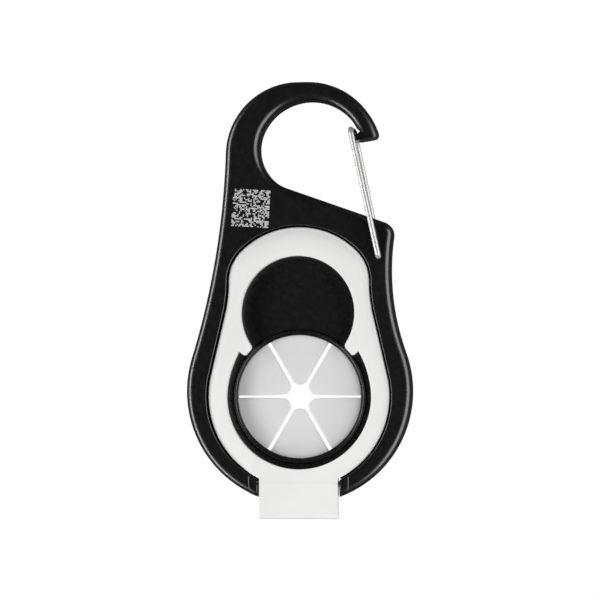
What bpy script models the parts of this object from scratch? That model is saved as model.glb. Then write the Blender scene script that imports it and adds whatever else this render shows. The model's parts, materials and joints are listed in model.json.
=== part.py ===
"""Clip-on grip: a hook-shaped body with a wire gate, a six-petal grip disc and a flip frame.

The body lies on its back: +X right, +Y towards the hook, +Z out of the front face.
Outlines are worked out in millimetres and turned into metres when a mesh is made.
"""
import math

import bmesh
import bpy
from mathutils import Matrix, Vector

MM = 0.001
ARC_STEP = 7.0                     # degrees between points on an arc
BAR_SIDES = 24

# Body plate and its edges
BODY_THICK = 9.0
EDGE_ROUND = 2.0
EDGE_SEGMENTS = 4

# Body outline: lower lobe, hook and the waists between them
LOBE_CENTRE = Vector((0.0, -25.0))
LOBE_R = 31.0
HOOK_TOP = 59.9
HOOK_LEFT_X = -0.3
HOOK_LEFT_R = 20.0
HOOK_RIGHT_X = 2.35
HOOK_RIGHT_R = 20.25
LEFT_WAIST_R = 215.0
RIGHT_WAIST_R = 66.0
RIGHT_WAIST_X = 25.2
SHOULDER_R = 3.5
SHOULDER_ANGLE = -19.5             # slope of the shoulder's upper edge, degrees

# Inside of the hook: a large arc, then a smaller one that runs into the shoulder
BAY_TOP_CENTRE = Vector((3.1, 40.35))
BAY_TOP_R = 14.4
BAY_LOW_CENTRE = Vector((0.65, 41.6))
BAY_LOW_R = 11.65

# Nose of the hook: the blank runs past the nose and is cut back to its end face
NOSE_BLANK_ANGLE = -14.0
NOSE_END_POINT = Vector((15.4, 43.4))
NOSE_END_ANGLE = 10.0
NOTCH_TOP = Vector((15.95, 46.95))
NOTCH_FLOOR = Vector((17.1, 46.3))
NOTCH_LOW = Vector((16.15, 45.25))
LIP_X = 14.3
LIP_ROOT_X = 19.0
LIP_TOP_Y = 45.8
LIP_SLOPE = 0.18
LIP_LOW_Z = 0.3
LIP_TOP_Z = 8.98
NOSE_CUT_IN = 4.0
NOSE_CUT_OUT = 12.0

# Wire gate
WIRE_R = 0.75
WIRE_BEND_R = 1.7
WIRE_FOOT_R = 1.15
WIRE_GAP = 0.3
GATE_PIVOT = Vector((21.95, 11.8))
GATE_TOP_FRONT = Vector((14.3, 46.6))
GATE_TOP_BACK = Vector((14.8, 46.6))
GATE_TRAVEL = 38.0
GATE_HOLE_DEPTH = 2.6
GATE_HOLE_GAP = 0.2
GATE_END_GAP = 0.35
SWEEP_R = 30.0                     # reach of the relief that the rear leg swings over
NOSE_RELIEF = 0.2                  # share of the rear leg that the nose gives way to

# Flip frame
FRAME_LOBE_CENTRE = Vector((0.0, -26.4))
FRAME_LOBE_R = 24.9
FRAME_TOP_CENTRE = Vector((0.0, -2.5))
FRAME_TOP_R = 22.45
FRAME_CORNER_R = 12.0
FRAME_CORNER_X = 7.35
FRAME_WAIST_R = 40.0
FRAME_LOW_Z = 6.1
FRAME_RIM_Z = 8.2
FRAME_TOP_Z = 8.95
FRAME_SLOPE = 2.3                  # width of the slope round the frame's outer edge
FRAME_BULGE = 0.12                 # height of the slope's middle above a straight one
WINDOW_CENTRE = Vector((-0.3, -3.6))
WINDOW_R = 15.5
COLLAR_R = 19.7
EAR_R = 18.45
EAR_ANGLE = 37.0                   # the ears stand above this angle, either side
TAB_HALF = 10.8
TAB_END_Y = -59.9
TAB_ROOT_Y = -46.8
TAB_TOP_Z = 8.9
TAB_ROUND = 1.1

# Frame hinge
HINGE_Y = -50.3
HINGE_Z = 7.6
PIN_R = 0.75
PIN_HALF = 12.9
PIN_BORE_R = 0.85
PIN_BORE_HALF = 13.1
BARREL_R = 1.5
BARREL_HALF = 10.75
LUG_R = 1.5
LUG_HALF = 13.7
SNAP_SLOT = 1.2
SLOT_HALF = 11.2
SLOT_TOP_Y = -48.3

# Pocket for the frame
POCKET_GAP = 0.5
POCKET_FLOOR_Z = 5.8
POCKET_CHAMFER = 0.5

# Grip disc, its seat and its clamp ring
DISC_CENTRE = Vector((0.0, -26.5))
SEAT_R = 18.45
SEAT_Z = 4.0
HOLE_R = 16.8
HOLE_MOUTH_R = 17.8
HOLE_MOUTH_DEPTH = 1.0
DISC_LOW_Z = 4.3
DISC_TOP_Z = 5.4
RIM_OUTER_R = 18.1
RIM_INNER_R = 15.9
PETAL_COUNT = 6
PETAL_ROOT_R = 15.3
PETAL_AXIS_R = 15.4
PETAL_TIP_R = 3.27
SLIT_WIDTH = 1.0
RING_LOW_Z = 5.7
RING_TOP_Z = 6.6
RING_INNER_R = 16.85
RING_OUTER_R = 18.15
RING_CHAMFER = 0.35
RING_SIDES = 72

CUT_OVER = 1.0                     # how far a cutter runs past the face it cuts


def clear_scene():
    for item in list(bpy.data.objects):
        bpy.data.objects.remove(item, do_unlink=True)


def make_material(name, colour, roughness, metallic=0.0):
    material = bpy.data.materials.new(name)
    material.use_nodes = True
    shader = material.node_tree.nodes["Principled BSDF"]
    shader.inputs["Base Color"].default_value = (*colour, 1.0)
    shader.inputs["Roughness"].default_value = roughness
    shader.inputs["Metallic"].default_value = metallic
    material.diffuse_color = (*colour, 1.0)
    return material


def arc(centre, radius, start, end, step=ARC_STEP):
    """Points along an arc, both ends included; angles in degrees."""
    count = max(2, math.ceil(abs(end - start) / step) + 1)
    points = []
    for index in range(count):
        angle = math.radians(start + (end - start) * index / (count - 1))
        points.append(Vector((centre.x + radius * math.cos(angle), centre.y + radius * math.sin(angle))))
    return points


def bearing(origin, target):
    """Direction from origin to target, in degrees."""
    offset = target - origin
    return math.degrees(math.atan2(offset.y, offset.x))


def unit(angle):
    return Vector((math.cos(math.radians(angle)), math.sin(math.radians(angle))))


def meet_circles(first, first_r, second, second_r, side):
    """Where two circles cross; side +1 takes the point left of the line from first to second."""
    span = second - first
    distance = span.length
    along = (distance ** 2 + first_r ** 2 - second_r ** 2) / (2 * distance)
    across = math.sqrt(first_r ** 2 - along ** 2)
    ahead = span / distance
    return first + ahead * along + Vector((-ahead.y, ahead.x)) * across * side


def join_points(*runs):
    """Join runs of points, leaving out a point that repeats the one before it."""
    joined = []
    for run in runs:
        for point in run:
            if not joined or (point - joined[-1]).length > 0.02:
                joined.append(point)
    if (joined[0] - joined[-1]).length <= 0.02:
        joined.pop()
    return joined


def body_outline(inset):
    """Counter-clockwise outline of the body, with the hook running past its nose."""
    hook_left = Vector((HOOK_LEFT_X, HOOK_TOP - HOOK_LEFT_R))
    hook_right = Vector((HOOK_RIGHT_X, HOOK_TOP - HOOK_RIGHT_R))
    left_waist = meet_circles(LOBE_CENTRE, LOBE_R + LEFT_WAIST_R, hook_left, HOOK_LEFT_R + LEFT_WAIST_R, 1)
    waist_rise = math.sqrt((RIGHT_WAIST_R + LOBE_R) ** 2 - (RIGHT_WAIST_X + RIGHT_WAIST_R) ** 2)
    right_waist = Vector((RIGHT_WAIST_X + RIGHT_WAIST_R, LOBE_CENTRE.y + waist_rise))

    edge_start = SHOULDER_ANGLE - 90.0
    slope = unit(SHOULDER_ANGLE)
    inward = unit(SHOULDER_ANGLE - 90.0)
    edge_point = BAY_LOW_CENTRE + unit(edge_start) * BAY_LOW_R
    track = edge_point + inward * SHOULDER_R
    reach = RIGHT_WAIST_R + SHOULDER_R
    offset = track - right_waist
    along = -offset.dot(slope) - math.sqrt(offset.dot(slope) ** 2 - offset.length_squared + reach ** 2)
    shoulder = track + slope * along

    lobe_right = bearing(LOBE_CENTRE, right_waist)
    lobe_left = bearing(LOBE_CENTRE, left_waist)
    to_shoulder = bearing(right_waist, shoulder) % 360.0
    to_lobe = bearing(right_waist, LOBE_CENTRE) % 360.0
    bay_turn = bearing(BAY_TOP_CENTRE, BAY_LOW_CENTRE)
    to_left_lobe = bearing(left_waist, LOBE_CENTRE)
    return join_points(
        arc(LOBE_CENTRE, LOBE_R - inset, lobe_left, lobe_right + 360.0, 4.0),
        arc(right_waist, RIGHT_WAIST_R + inset, to_lobe, to_shoulder, 4.0),
        arc(shoulder, SHOULDER_R - inset, to_shoulder - 180.0, SHOULDER_ANGLE + 90.0, 12.0),
        arc(BAY_LOW_CENTRE, BAY_LOW_R + inset, edge_start + 360.0, bay_turn),
        arc(BAY_TOP_CENTRE, BAY_TOP_R + inset, bay_turn, NOSE_BLANK_ANGLE),
        arc(hook_right, HOOK_RIGHT_R - inset, NOSE_BLANK_ANGLE, 90.0, 5.0),
        arc(hook_left, HOOK_LEFT_R - inset, 90.0, bearing(hook_left, left_waist) % 360.0, 5.0),
        arc(left_waist, LEFT_WAIST_R + inset, bearing(left_waist, hook_left), to_left_lobe, 2.0),
    )


def frame_outline(inset):
    """Counter-clockwise outline of the frame's plate, moved inwards by inset."""
    lean = math.sqrt((FRAME_TOP_R - FRAME_CORNER_R) ** 2 - FRAME_CORNER_X ** 2)
    corner = Vector((FRAME_CORNER_X, FRAME_TOP_CENTRE.y + lean))
    waist_x = FRAME_CORNER_X + FRAME_CORNER_R + FRAME_WAIST_R
    waist = Vector((waist_x, corner.y))
    # The straight side touches the lobe and the waist, which lie on opposite sides of it.
    span = (waist - FRAME_LOBE_CENTRE).length
    side = bearing(FRAME_LOBE_CENTRE, waist) - math.degrees(math.acos((FRAME_LOBE_R + FRAME_WAIST_R) / span))
    corner_end = bearing(FRAME_TOP_CENTRE, corner)
    right = join_points(
        arc(FRAME_LOBE_CENTRE, FRAME_LOBE_R - inset, -90.0, side, 5.0),
        arc(waist, FRAME_WAIST_R + inset, side + 180.0, 180.0, 4.0),
        arc(corner, FRAME_CORNER_R - inset, 0.0, corner_end, 8.0),
        arc(FRAME_TOP_CENTRE, FRAME_TOP_R - inset, corner_end, 90.0, 8.0),
    )
    left = [Vector((-point.x, point.y)) for point in reversed(right[1:-1])]
    return right + left


def window_outline():
    """Opening through the frame: a round window, a wider collar below it and an ear each side."""
    ear_right = meet_circles(DISC_CENTRE, EAR_R, WINDOW_CENTRE, WINDOW_R, -1)
    ear_left = meet_circles(DISC_CENTRE, EAR_R, WINDOW_CENTRE, WINDOW_R, 1)
    collar = arc(DISC_CENTRE, COLLAR_R, 180.0 - EAR_ANGLE, 360.0 + EAR_ANGLE, 5.0)
    right_ear = arc(DISC_CENTRE, EAR_R, EAR_ANGLE, bearing(DISC_CENTRE, ear_right), 4.0)
    window_end = bearing(WINDOW_CENTRE, ear_left) % 360.0
    window = arc(WINDOW_CENTRE, WINDOW_R, bearing(WINDOW_CENTRE, ear_right), window_end, 6.0)
    left_ear = arc(DISC_CENTRE, EAR_R, bearing(DISC_CENTRE, ear_left), 180.0 - EAR_ANGLE, 4.0)
    return join_points(collar, right_ear, window, left_ear)


def petal_outline():
    """One petal, pointing along +X from the disc's centre."""
    half = 180.0 / PETAL_COUNT
    apex = SLIT_WIDTH / 2 / math.sin(math.radians(half))
    sine = math.sin(math.radians(half))
    tip_r = (PETAL_TIP_R - apex) * sine / (1.0 - sine)
    tip = Vector((PETAL_TIP_R + tip_r, 0.0))
    spread = half - math.degrees(math.asin(SLIT_WIDTH / 2 / PETAL_ROOT_R))
    return join_points(
        arc(Vector((0.0, 0.0)), PETAL_ROOT_R, -spread, spread, 4.0),
        arc(tip, tip_r, 90.0 + half, 270.0 - half, 12.0),
    )


def loft(levels):
    """Closed mesh through loops of equal length, given as (points, z) from the lowest up."""
    mesh = bmesh.new()
    loops = []
    for points, height in levels:
        loops.append([mesh.verts.new((point.x * MM, point.y * MM, height * MM)) for point in points])
    count = len(loops[0])
    mesh.faces.new(list(reversed(loops[0])))
    mesh.faces.new(loops[-1])
    for low, high in zip(loops, loops[1:]):
        for index in range(count):
            after = (index + 1) % count
            mesh.faces.new((low[index], low[after], high[after], high[index]))
    return mesh


def body_levels():
    """Loops of the body's blank, rounded over along its lower and upper edges."""
    lower = []
    upper = []
    for step in range(EDGE_SEGMENTS + 1):
        turn = math.radians(90.0 * step / EDGE_SEGMENTS)
        outline = body_outline(EDGE_ROUND * (1.0 - math.sin(turn)))
        rise = EDGE_ROUND * (1.0 - math.cos(turn))
        lower.append((outline, rise))
        upper.append((outline, BODY_THICK - rise))
    return lower + upper[::-1]


def circle(centre, radius, sides):
    return arc(centre, radius, 0.0, 360.0 - 360.0 / sides, 360.0 / sides)


def turned_ring(profile, centre, sides):
    """Ring made by turning a closed (radius, z) profile about a vertical line through centre."""
    mesh = bmesh.new()
    rings = []
    for radius, height in profile:
        points = circle(centre, radius, sides)
        rings.append([mesh.verts.new(Vector((point.x, point.y, height)) * MM) for point in points])
    for low, high in zip(rings, rings[1:] + rings[:1]):
        for index in range(sides):
            after = (index + 1) % sides
            mesh.faces.new((low[index], low[after], high[after], high[index]))
    return mesh


def cylinder(radius, low, high, sides, centre):
    """Upright cylinder between two heights."""
    points = circle(centre, radius, sides)
    return loft([(points, low), (points, high)])


def bar(radius, half_length):
    """Bar along X through the hinge line."""
    mesh = cylinder(radius, -half_length, half_length, BAR_SIDES, Vector((0.0, 0.0)))
    mesh.transform(Matrix.Rotation(math.radians(90.0), 4, "Y"))
    mesh.transform(Matrix.Translation(Vector((0.0, HINGE_Y, HINGE_Z)) * MM))
    return mesh


def place(name, mesh, material, origin=Vector((0.0, 0.0, 0.0))):
    """Turn a mesh into an object whose origin is at the given point, in millimetres."""
    mesh.transform(Matrix.Translation(-origin * MM))
    bmesh.ops.recalc_face_normals(mesh, faces=mesh.faces)
    data = bpy.data.meshes.new(name)
    mesh.to_mesh(data)
    mesh.free()
    data.shade_smooth()
    data.set_sharp_from_angle(angle=math.radians(35.0))
    item = bpy.data.objects.new(name, data)
    item.location = origin * MM
    bpy.context.collection.objects.link(item)
    if material:
        data.materials.append(material)
    return item


def combine(target, operation, name, mesh):
    """Cut target with a mesh, or add the mesh to it, and hide the tool."""
    tool = place(name, mesh, None)
    tool.hide_render = True
    tool.display_type = "WIRE"
    modifier = target.modifiers.new(name, "BOOLEAN")
    modifier.operation = operation
    modifier.object = tool


def strip_outline(start, end, half, before, after):
    """Rectangle along the line from start to end, run on past each end."""
    ahead = (end - start).normalized()
    side = Vector((-ahead.y, ahead.x)) * half
    first = start - ahead * before
    last = end + ahead * after
    return [first + side, first - side, last - side, last + side]


def gate_sweep():
    """Area behind the shoulder that the rear leg passes over as the gate opens."""
    clear = WIRE_R + WIRE_GAP
    closed = bearing(GATE_PIVOT, GATE_TOP_BACK)
    spread = math.degrees(math.asin(clear / SWEEP_R))
    corner = arc(GATE_PIVOT, clear, closed + GATE_TRAVEL + 90.0, closed + 270.0, 20.0)
    far = arc(GATE_PIVOT, SWEEP_R, closed - spread, closed + GATE_TRAVEL + spread, 6.0)
    return join_points(corner, far)


def build_body(material):
    body = place("carabiner_body", loft(body_levels()), material)
    leg = (GATE_PIVOT - GATE_TOP_FRONT).normalized()
    end_face = unit(NOSE_END_ANGLE)

    lip_foot = NOSE_END_POINT - Vector((0.0, CUT_OVER))
    lip_left = Vector((LIP_X + (LIP_TOP_Y - lip_foot.y) * abs(leg.x / leg.y), lip_foot.y))
    lip_root = Vector((LIP_ROOT_X, lip_foot.y))
    lip = [Vector((LIP_X, LIP_TOP_Y)), lip_left, lip_root, Vector((LIP_ROOT_X, LIP_TOP_Y))]
    combine(body, "UNION", "lip", loft([(lip, LIP_LOW_Z), (lip, LIP_TOP_Z)]))

    for side in (-1, 1):
        lug = bar(LUG_R, (LUG_HALF - SLOT_HALF + CUT_OVER) / 2)
        lug_x = side * (LUG_HALF + SLOT_HALF - CUT_OVER) / 2
        lug.transform(Matrix.Translation(Vector((lug_x * MM, 0.0, 0.0))))
        combine(body, "UNION", "lug", lug)

    inner = NOSE_END_POINT - end_face * NOSE_CUT_IN
    outer = NOSE_END_POINT + end_face * NOSE_CUT_OUT
    drop = Vector((end_face.y, -end_face.x)) * NOSE_CUT_OUT
    nose_cut = [inner, inner + drop, outer + drop, outer]
    combine(body, "DIFFERENCE", "nose_cut", loft([(nose_cut, -CUT_OVER), (nose_cut, BODY_THICK + CUT_OVER)]))

    notch_x = LIP_X - CUT_OVER
    notch = [
        Vector((notch_x, NOTCH_TOP.y + CUT_OVER)),
        Vector((notch_x, NOTCH_LOW.y - LIP_SLOPE * (NOTCH_LOW.x - notch_x))),
        NOTCH_LOW,
        NOTCH_FLOOR,
        NOTCH_TOP,
    ]
    combine(body, "DIFFERENCE", "notch", loft([(notch, -CUT_OVER), (notch, BODY_THICK + CUT_OVER)]))

    relief = 2 * WIRE_GAP + 2 * WIRE_R
    relief_end = GATE_TOP_BACK.lerp(GATE_PIVOT, NOSE_RELIEF)
    leg_relief = strip_outline(GATE_TOP_BACK, relief_end, WIRE_R + WIRE_GAP, CUT_OVER, 0.0)
    combine(body, "DIFFERENCE", "nose_relief", loft([(leg_relief, -CUT_OVER), (leg_relief, relief)]))
    combine(body, "DIFFERENCE", "gate_relief", loft([(gate_sweep(), -CUT_OVER), (gate_sweep(), relief)]))

    for name, low, high in (
        ("front_gate_hole", BODY_THICK - GATE_HOLE_DEPTH, BODY_THICK + CUT_OVER),
        ("rear_gate_hole", relief - CUT_OVER, relief + GATE_HOLE_DEPTH),
    ):
        combine(body, "DIFFERENCE", name, cylinder(WIRE_R + GATE_HOLE_GAP, low, high, BAR_SIDES, GATE_PIVOT))

    wall = frame_outline(-POCKET_GAP)
    flare = frame_outline(-POCKET_GAP - 2 * POCKET_CHAMFER)
    rim_z = BODY_THICK - POCKET_CHAMFER
    clear_z = HINGE_Z + LUG_R + CUT_OVER
    pocket = [(wall, POCKET_FLOOR_Z), (wall, rim_z), (flare, BODY_THICK + POCKET_CHAMFER), (flare, clear_z)]
    combine(body, "DIFFERENCE", "pocket", loft(pocket))

    slot = strip_outline(Vector((0.0, SLOT_TOP_Y)), Vector((0.0, TAB_END_Y)), SLOT_HALF, 0.0, 0.0)
    combine(body, "DIFFERENCE", "tab_slot", loft([(slot, -CUT_OVER), (slot, clear_z)]))

    steps = [
        (HOLE_MOUTH_R + CUT_OVER, -CUT_OVER),
        (HOLE_R, HOLE_MOUTH_DEPTH),
        (HOLE_R, SEAT_Z),
        (SEAT_R, SEAT_Z),
        (SEAT_R, POCKET_FLOOR_Z + CUT_OVER),
    ]
    seat = [(circle(DISC_CENTRE, radius, RING_SIDES), z) for radius, z in steps]
    combine(body, "DIFFERENCE", "disc_seat", loft(seat))

    combine(body, "DIFFERENCE", "pin_bore", bar(PIN_BORE_R, PIN_BORE_HALF))
    snap_end = Vector((PIN_BORE_HALF, HINGE_Y))
    snap = strip_outline(Vector((-PIN_BORE_HALF, HINGE_Y)), snap_end, SNAP_SLOT / 2, 0.0, 0.0)
    combine(body, "DIFFERENCE", "snap_slot", loft([(snap, -CUT_OVER), (snap, HINGE_Z)]))


def build_frame(material):
    plate = loft([
        (frame_outline(0.0), FRAME_LOW_Z),
        (frame_outline(0.0), FRAME_RIM_Z),
        (frame_outline(FRAME_SLOPE / 2), (FRAME_RIM_Z + FRAME_TOP_Z) / 2 + FRAME_BULGE),
        (frame_outline(FRAME_SLOPE), FRAME_TOP_Z),
    ])
    frame = place("flip_frame", plate, material, Vector((0.0, HINGE_Y, HINGE_Z)))

    rows = [(TAB_END_Y, FRAME_LOW_Z), (TAB_ROOT_Y, FRAME_LOW_Z), (TAB_ROOT_Y, TAB_TOP_Z)]
    for point in arc(Vector((TAB_END_Y + TAB_ROUND, TAB_TOP_Z - TAB_ROUND)), TAB_ROUND, 90.0, 180.0, 22.5):
        rows.append((point.x, point.y))
    tab = bmesh.new()
    ends = []
    for side in (-1, 1):
        ends.append([tab.verts.new(Vector((side * TAB_HALF, y, z)) * MM) for y, z in rows])
    tab.faces.new(ends[0])
    tab.faces.new(list(reversed(ends[1])))
    for index in range(len(rows)):
        after = (index + 1) % len(rows)
        tab.faces.new((ends[0][index], ends[1][index], ends[1][after], ends[0][after]))
    combine(frame, "UNION", "tab", tab)
    combine(frame, "UNION", "barrel", bar(BARREL_R, BARREL_HALF))
    window = window_outline()
    opening = [(window, FRAME_LOW_Z - CUT_OVER), (window, FRAME_TOP_Z + CUT_OVER)]
    combine(frame, "DIFFERENCE", "window", loft(opening))
    combine(frame, "DIFFERENCE", "frame_bore", bar(PIN_BORE_R, TAB_HALF + CUT_OVER))


def build_disc(rubber):
    profile = [
        (RIM_INNER_R, DISC_LOW_Z),
        (RIM_OUTER_R, DISC_LOW_Z),
        (RIM_OUTER_R, DISC_TOP_Z),
        (RIM_INNER_R, DISC_TOP_Z),
    ]
    place("grip_disc_rim", turned_ring(profile, DISC_CENTRE, RING_SIDES), rubber)
    middle = (DISC_LOW_Z + DISC_TOP_Z) / 2
    for index in range(PETAL_COUNT):
        angle = 360.0 / PETAL_COUNT * (index + 0.5)
        mesh = loft([(petal_outline(), DISC_LOW_Z), (petal_outline(), DISC_TOP_Z)])
        mesh.transform(Matrix.Translation(Vector((-PETAL_AXIS_R, 0.0, -middle)) * MM))
        petal = place(f"petal_{index + 1}", mesh, rubber)
        root = DISC_CENTRE + unit(angle) * PETAL_AXIS_R
        petal.location = Vector((root.x, root.y, middle)) * MM
        petal.rotation_euler = (0.0, 0.0, math.radians(angle))


def build_ring(material):
    profile = [
        (RING_INNER_R, RING_LOW_Z),
        (RING_OUTER_R, RING_LOW_Z),
        (RING_OUTER_R, RING_TOP_Z - RING_CHAMFER),
        (RING_OUTER_R - RING_CHAMFER, RING_TOP_Z),
        (RING_INNER_R + RING_CHAMFER, RING_TOP_Z),
        (RING_INNER_R, RING_TOP_Z - RING_CHAMFER),
    ]
    place("clamp_ring", turned_ring(profile, DISC_CENTRE, RING_SIDES), material)


def rounded_route(corners, radii, steps):
    """Polyline with each inner corner replaced by an arc of its own radius."""
    route = [corners[0]]
    for before, corner, after, radius in zip(corners, corners[1:], corners[2:], radii):
        toward = (before - corner).normalized()
        away = (after - corner).normalized()
        half = toward.angle(away) / 2
        middle = corner + (toward + away).normalized() * radius / math.sin(half)
        first = (corner + toward * radius / math.tan(half) - middle).normalized()
        last = (corner + away * radius / math.tan(half) - middle).normalized()
        for index in range(steps + 1):
            route.append(middle + first.slerp(last, index / steps) * radius)
    route.append(corners[-1])
    return route


def build_gate(material):
    front_z = BODY_THICK + WIRE_GAP + WIRE_R
    rear_z = WIRE_GAP + WIRE_R
    deep = GATE_HOLE_DEPTH - GATE_END_GAP
    corners = [
        Vector((*GATE_PIVOT, BODY_THICK - deep)),
        Vector((*GATE_PIVOT, front_z)),
        Vector((*GATE_TOP_FRONT, front_z)),
        Vector((*GATE_TOP_BACK, rear_z)),
        Vector((*GATE_PIVOT, rear_z)),
        Vector((*GATE_PIVOT, 2 * WIRE_GAP + 2 * WIRE_R + deep)),
    ]
    pivot = Vector((*GATE_PIVOT, BODY_THICK / 2))
    curve = bpy.data.curves.new("wire_gate", "CURVE")
    curve.dimensions = "3D"
    curve.bevel_depth = WIRE_R * MM
    curve.bevel_resolution = 4
    curve.use_fill_caps = True
    radii = [WIRE_FOOT_R, WIRE_BEND_R, WIRE_BEND_R, WIRE_FOOT_R]
    route = rounded_route(corners, radii, 6)
    spline = curve.splines.new("POLY")
    spline.points.add(len(route) - 1)
    for point, spot in zip(spline.points, route):
        point.co = (*((spot - pivot) * MM), 1.0)
    curve.materials.append(material)
    gate = bpy.data.objects.new("wire_gate", curve)
    gate.location = pivot * MM
    bpy.context.collection.objects.link(gate)


def main():
    clear_scene()
    black = make_material("black_plastic", (0.011, 0.011, 0.012), 0.34)
    white = make_material("white_plastic", (0.80, 0.80, 0.79), 0.42)
    rubber = make_material("grey_rubber", (0.62, 0.62, 0.62), 0.55)
    steel = make_material("polished_steel", (0.66, 0.66, 0.65), 0.16, 1.0)
    build_body(black)
    build_frame(white)
    build_disc(rubber)
    build_ring(black)
    build_gate(steel)
    place("hinge_pin", bar(PIN_R, PIN_HALF), steel)


main()
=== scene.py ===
import json
import math
import random

import bmesh
import bpy
from mathutils import Matrix, Vector


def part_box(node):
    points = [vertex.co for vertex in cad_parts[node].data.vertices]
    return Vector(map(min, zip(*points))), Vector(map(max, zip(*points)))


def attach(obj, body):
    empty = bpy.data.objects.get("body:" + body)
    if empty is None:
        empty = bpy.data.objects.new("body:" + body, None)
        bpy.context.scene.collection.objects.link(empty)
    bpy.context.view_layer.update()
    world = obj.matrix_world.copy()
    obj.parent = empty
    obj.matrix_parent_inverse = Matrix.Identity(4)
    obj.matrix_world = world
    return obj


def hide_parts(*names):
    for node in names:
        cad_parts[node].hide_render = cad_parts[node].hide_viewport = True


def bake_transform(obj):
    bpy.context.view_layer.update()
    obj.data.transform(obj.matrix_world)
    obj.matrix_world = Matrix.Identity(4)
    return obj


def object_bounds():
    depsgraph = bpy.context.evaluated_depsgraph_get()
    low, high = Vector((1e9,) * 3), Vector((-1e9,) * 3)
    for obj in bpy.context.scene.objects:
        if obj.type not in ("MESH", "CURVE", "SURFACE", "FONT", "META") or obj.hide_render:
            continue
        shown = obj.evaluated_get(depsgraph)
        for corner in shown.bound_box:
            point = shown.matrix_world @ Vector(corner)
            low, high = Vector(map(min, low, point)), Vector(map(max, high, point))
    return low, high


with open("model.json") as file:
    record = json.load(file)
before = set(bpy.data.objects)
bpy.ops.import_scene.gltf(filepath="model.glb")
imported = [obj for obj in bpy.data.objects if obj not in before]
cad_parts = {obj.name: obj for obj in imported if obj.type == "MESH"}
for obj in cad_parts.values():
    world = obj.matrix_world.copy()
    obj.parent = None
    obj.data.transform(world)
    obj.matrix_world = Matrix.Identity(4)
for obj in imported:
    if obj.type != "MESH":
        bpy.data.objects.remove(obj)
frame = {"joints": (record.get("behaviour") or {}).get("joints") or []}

# Looks of the clip-on grip. Sizes are in millimetres, in the frame's own axes: +Y towards the hook,
# +Z out of the front face. Each CAD node is replaced by a finer mesh of the same shape.

MM = 0.001
cad_low, cad_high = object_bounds()
joints = {joint["name"]: joint for joint in frame["joints"]}


def flat(vector):
    return Vector((vector[0] / MM, vector[1] / MM))


def middle_of(node):
    low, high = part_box(node)
    return flat((low + high) / 2)


# Body
BODY_THICK = 9.0
EDGE_ROUND = 2.0
EDGE_SEGMENTS = 9
LOBE_CENTRE = Vector((0.0, -25.0))
LOBE_R = 30.985
HOOK_TOP = cad_high.y / MM
HOOK_LEFT_X = -0.3
HOOK_LEFT_R = 20.0
HOOK_RIGHT_X = 2.35
HOOK_RIGHT_R = 20.25
LEFT_WAIST_R = 215.0
RIGHT_WAIST_R = 66.0
RIGHT_WAIST_X = 25.2
SHOULDER_R = 3.5
SHOULDER_ANGLE = -19.5
BAY_TOP_CENTRE = Vector((3.1, 40.35))
BAY_TOP_R = 14.4
BAY_LOW_CENTRE = Vector((0.65, 41.6))
BAY_LOW_R = 11.65

# Nose
NOSE_BLANK_ANGLE = -14.0
NOSE_END_POINT = Vector((15.4, 43.4))
NOSE_END_ANGLE = 10.0
NOSE_CORNER_R = 1.3
NOSE_CUT_IN = 4.0                    # how far the nose's cutter runs back from the end point
NOSE_REACH = 6.0
NOSE_DROP = 12.0
NOSE_RELIEF = 0.2                    # how far the nose's relief follows the rear leg, as a share of the leg
NOTCH = [Vector((15.95, 46.95)), Vector((17.1, 46.3)), Vector((16.15, 45.25))]
NOTCH_ROUND = 0.35
NOSE_SOFT_X = 13.5                   # the nose's edges right of this and above the next are softened
NOSE_SOFT_Y = 42.0
LIP_X = 14.3
LIP_ROOT_X = 19.0
LIP_TOP_Y = 45.8
LIP_SLOPE = 0.18
LIP_LOW_Z = 0.3
LIP_TOP_Z = BODY_THICK - 0.02

# Gate
WIRE_R = 0.73
WIRE_GAP = 0.3
WIRE_BEND_R = 1.7
WIRE_FOOT_R = 1.15
GATE_PIVOT = flat(joints["gate_swing"]["pos_m"])
GATE_TOP_FRONT = Vector((14.3, 46.6))
GATE_TOP_BACK = Vector((14.8, 46.6))
GATE_TRAVEL = joints["gate_swing"]["range_deg"][1]
GATE_HOLE_DEPTH = 2.6
GATE_HOLE_GAP = 0.2
GATE_END_GAP = 0.35
SWEEP_R = 30.0                       # radius of the relief that the rear leg swings over
WIRE_SIDES = 28
WIRE_BEND_STEPS = 12
WIRE_DOME = 0.25                     # height of a wire end's dome, as a share of the radius

# Frame and its pocket
FRAME_LOBE_CENTRE = Vector((0.0, -26.4))
FRAME_LOBE_R = 24.9
FRAME_TOP_CENTRE = Vector((0.0, -2.5))
FRAME_TOP_R = 22.45
FRAME_CORNER_R = 12.0
FRAME_CORNER_X = 7.35
FRAME_WAIST_R = 40.0
FRAME_LOW_Z = 6.1
FRAME_RIM_Z = 8.4
FRAME_TOP_Z = 8.95
FRAME_RIM_WIDTH = 0.75
FRAME_SLOPE = 1.85
FRAME_STEP = 0.12                    # height of the step just inside the rim
FRAME_DOME = 6.2                     # how far in the crowned top keeps rising
FRAME_DOME_LOOPS = 12
FRAME_RIM_ROUND = 0.3
FRAME_LOW_ROUND = 0.15
FRAME_SOFT = 0.18
FRAME_FACE_ABOVE = 1.0               # what is higher than this over the underside belongs to the front
WINDOW_SOFT_R = 24.0                 # the collar's and ears' edges within these bounds are softened
WINDOW_SOFT_X = 20.0
WINDOW_SOFT_Y = -47.0
WINDOW_SOFT_OVER = 0.4
TAB_SOFT_Y = -51.9
CREST_DROP = 0.9                     # fall of the front face towards the hook
CREST_FROM = 9.0
WINDOW_CENTRE = Vector((-0.3, -3.6))
WINDOW_R = 15.65
COLLAR_R = 19.9
EAR_R = 18.45
EAR_ANGLE = 37.0
EAR_HEEL_R = 0.55
COLLAR_FLARE = 0.7                   # how much wider the collar is beside the ears
COLLAR_FLARE_FROM = 8.0              # where the collar starts to widen, degrees above level
EAR_TIP_R = 1.3
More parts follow.
